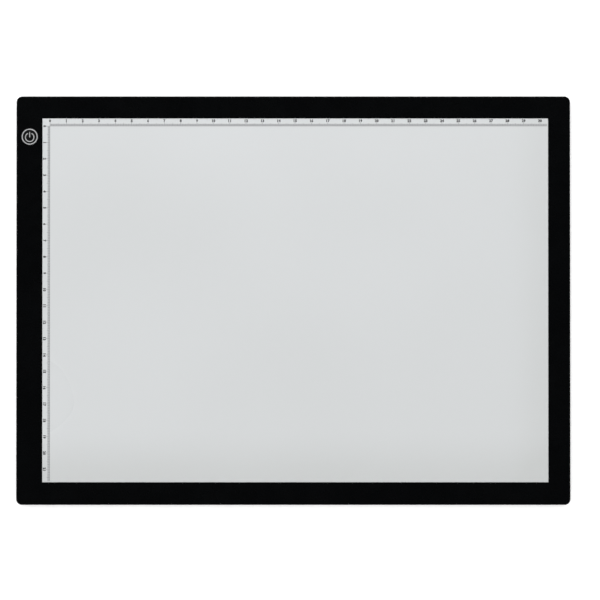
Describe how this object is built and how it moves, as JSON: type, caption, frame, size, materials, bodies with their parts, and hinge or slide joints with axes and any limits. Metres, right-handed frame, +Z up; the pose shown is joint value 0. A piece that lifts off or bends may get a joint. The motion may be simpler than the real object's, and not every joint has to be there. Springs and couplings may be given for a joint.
{
  "type": "light box",
  "caption": "Slim LED light box for tracing: milky drawing panel with centimetre scales in a black frame, and a round push key in the left border.",
  "frame": {"origin": "middle of the footprint, on the surface that the rubber feet stand on", "axes": "+X to the right along the long side, +Y towards the back edge with the power socket, +Z up out of the drawing panel"},
  "size_m": [0.339, 0.25, 0.0058],
  "materials": {
    "black_abs": "fine moulded satin texture",
    "black_abs_back": "coarser spark texture",
    "key_black": "smooth satin",
    "opal_acrylic": "milky, satin-smooth face",
    "clear_acrylic": "polished edges, dotted back",
    "white_film": "matt white film",
    "matt_film": "frosted film",
    "adhesive_tape": "double-sided adhesive tape",
    "foot_rubber": "matt moulded rubber",
    "screw_steel": "black zinc-plated steel",
    "plated_steel": "nickel-plated pressed sheet",
    "tinned_metal": "dull tin plating",
    "enamelled_copper": "enamelled copper wire",
    "gold_contact": "gold-flashed contact",
    "white_board": "white solder mask",
    "green_board": "green solder mask on glass-epoxy",
    "led_package": "white package, yellow phosphor",
    "red_insulation": "soft PVC insulation",
    "black_insulation": "soft PVC insulation",
    "ivory_nylon": "moulded nylon",
    "black_nylon": "moulded glass-filled nylon",
    "chip_epoxy": "moulded epoxy",
    "ferrite": "pressed ferrite",
    "capacitor_ceramic": "fired ceramic chip"
  },
  "bodies": {
    "housing": {"front_bezel": "black_abs", "drawing_panel": "opal_acrylic", "panel_tape": "adhesive_tape", "back_cover": "black_abs_back", "case_screws": "screw_steel", "foot_front_left": "foot_rubber", "foot_front_middle": "foot_rubber", "foot_front_right": "foot_rubber", "foot_back_left": "foot_rubber", "foot_back_middle": "foot_rubber", "foot_back_right": "foot_rubber", "reflector_sheet": "white_film", "light_guide": "clear_acrylic", "diffuser_sheet": "matt_film", "edge_reflector_left": "white_film", "edge_reflector_right": "white_film", "edge_reflector_front": "white_film", "led_board": "white_board", "leds": "led_package", "led_strip_tape": "adhesive_tape", "led_lead_red": "red_insulation", "led_lead_black": "black_insulation", "led_connector": "ivory_nylon", "control_board": "green_board", "board_screws": "screw_steel", "usb_shell": "plated_steel", "usb_tongue": "black_nylon", "usb_contacts": "gold_contact", "driver_chip": "chip_epoxy", "chip_legs": "tinned_metal", "inductor_core": "ferrite", "inductor_winding": "enamelled_copper", "schottky_diode": "chip_epoxy", "capacitors": "capacitor_ceramic", "resistors": "chip_epoxy", "part_terminals": "tinned_metal", "switch_base": "black_nylon", "switch_cover": "plated_steel", "switch_dome": "plated_steel", "switch_terminals": "plated_steel"},
    "power_key": {"power_key": "key_black"},
    "switch_plunger": {"switch_plunger": "ivory_nylon"}
  },
  "joints": [
    {"name": "key_press", "type": "slide", "parent": "housing", "child": "power_key", "axis": [0, 0, -1], "range_m": [0, 0.0003], "stiffness_N_per_m": 2000, "springref_m": -0.0002, "deforming": ["switch_dome"]},
    {"name": "plunger_press", "type": "slide", "parent": "housing", "child": "switch_plunger", "axis": [0, 0, -1], "range_m": [0, 0.0003]}
  ],
  "couplings": [
    {"joint": "plunger_press", "follows": "key_press", "ratio": 1}
  ]
}
